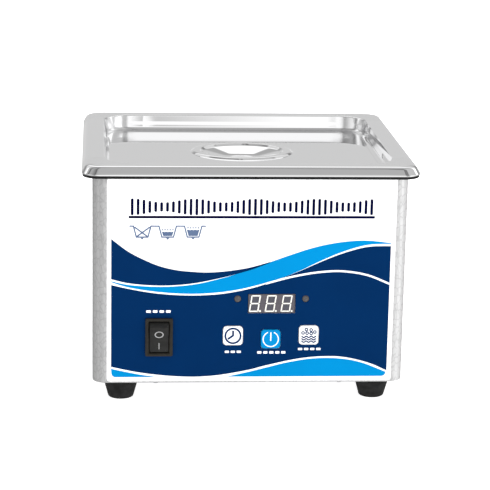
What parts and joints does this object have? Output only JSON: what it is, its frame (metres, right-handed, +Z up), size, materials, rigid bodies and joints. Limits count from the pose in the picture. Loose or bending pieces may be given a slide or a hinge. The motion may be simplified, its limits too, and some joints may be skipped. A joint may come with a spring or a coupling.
{
  "type": "ultrasonic cleaner",
  "caption": "Small bench-top ultrasonic cleaner for jewellery: embossed steel casing, printed front panel with rocker switch, display and keys, drawn steel tank and lift-off pan lid.",
  "frame": {"origin": "on the floor, under the middle of the lid, which is the middle of the bounding box", "axes": "+Z up, front panel towards -Y, +X to the right of someone facing the panel"},
  "size_m": [0.175, 0.16, 0.1274],
  "materials": {
    "mirror_steel": "mirror polished stainless steel",
    "embossed_steel": "hammer-embossed stainless steel",
    "plain_steel": "plain zinc-plated steel",
    "printed_film": "glossy white printed film",
    "black_rubber": "matt black rubber",
    "black_plastic": "fine-grained black plastic",
    "white_key": "white satin plastic",
    "cyan_key": "cyan satin plastic",
    "smoked_plastic": "smoked translucent plastic",
    "aluminium": "turned and extruded aluminium",
    "brass": "tinned brass",
    "copper": "enamelled copper",
    "board_green": "solder-masked glass fibre board",
    "piezo": "silvered piezoelectric ceramic",
    "ferrite": "matt sintered ferrite",
    "blue_sleeve": "blue shrink sleeve",
    "yellow_tape": "yellow winding tape",
    "red_film": "red epoxy dip",
    "lead_sleeve": "plastic insulation"
  },
  "bodies": {
    "chassis": {"casing_wrap": "embossed_steel", "bottom_plate": "plain_steel", "front_overlay": "printed_film", "tank": "mirror_steel", "rim_gasket": "black_rubber", "switch_housing": "black_plastic", "switch_terminal_1": "brass", "switch_terminal_2": "brass", "display_module": "smoked_plastic", "led_left": "smoked_plastic", "led_right": "smoked_plastic", "time_key_switch": "black_plastic", "on_off_key_switch": "black_plastic", "degas_key_switch": "black_plastic", "control_board": "board_green", "board_stud_1": "brass", "board_stud_2": "brass", "mains_inlet": "black_plastic", "inlet_blade_1": "brass", "inlet_blade_2": "brass", "inlet_blade_3": "brass", "inlet_screw_1": "plain_steel", "inlet_screw_2": "plain_steel", "driver_board": "board_green", "board_pillar_1": "brass", "board_pillar_2": "brass", "transformer_core": "ferrite", "transformer_winding": "yellow_tape", "choke": "copper", "smoothing_capacitor": "blue_sleeve", "film_capacitor": "red_film", "heat_sink": "aluminium", "power_transistor": "black_plastic", "transducer_front_mass": "aluminium", "piezo_ring_upper": "piezo", "electrode": "copper", "piezo_ring_lower": "piezo", "transducer_back_mass": "plain_steel", "transducer_bolt": "plain_steel", "mains_lead": "lead_sleeve", "transducer_lead": "copper", "signal_lead": "lead_sleeve", "foot_1": "black_rubber", "foot_screw_1": "plain_steel", "bottom_screw_1": "plain_steel", "foot_2": "black_rubber", "foot_screw_2": "plain_steel", "bottom_screw_2": "plain_steel", "foot_3": "black_rubber", "foot_screw_3": "plain_steel", "bottom_screw_3": "plain_steel", "foot_4": "black_rubber", "foot_screw_4": "plain_steel", "bottom_screw_4": "plain_steel"},
    "lid": {"lid": "mirror_steel"},
    "rocker": {"switch_rocker": "black_plastic"},
    "time_key": {"time_key": "white_key"},
    "on_off_key": {"on_off_key": "cyan_key"},
    "degas_key": {"degas_key": "white_key"}
  },
  "joints": [
    {"name": "lid_lift", "type": "slide", "parent": "chassis", "child": "lid", "axis": [0, 0, 1], "range_m": [0, 0.06]},
    {"name": "rocker_tilt", "type": "hinge", "parent": "chassis", "child": "rocker", "pos_m": [-0.0473, -0.07347, 0.0359], "axis": [-1, 0, 0], "range_deg": [0, 24]},
    {"name": "time_key_press", "type": "slide", "parent": "chassis", "child": "time_key", "axis": [0, 1, 0], "range_m": [0, 0.0005], "stiffness_N_per_m": 1200},
    {"name": "on_off_key_press", "type": "slide", "parent": "chassis", "child": "on_off_key", "axis": [0, 1, 0], "range_m": [0, 0.0005], "stiffness_N_per_m": 1200},
    {"name": "degas_key_press", "type": "slide", "parent": "chassis", "child": "degas_key", "axis": [0, 1, 0], "range_m": [0, 0.0005], "stiffness_N_per_m": 1200}
  ]
}
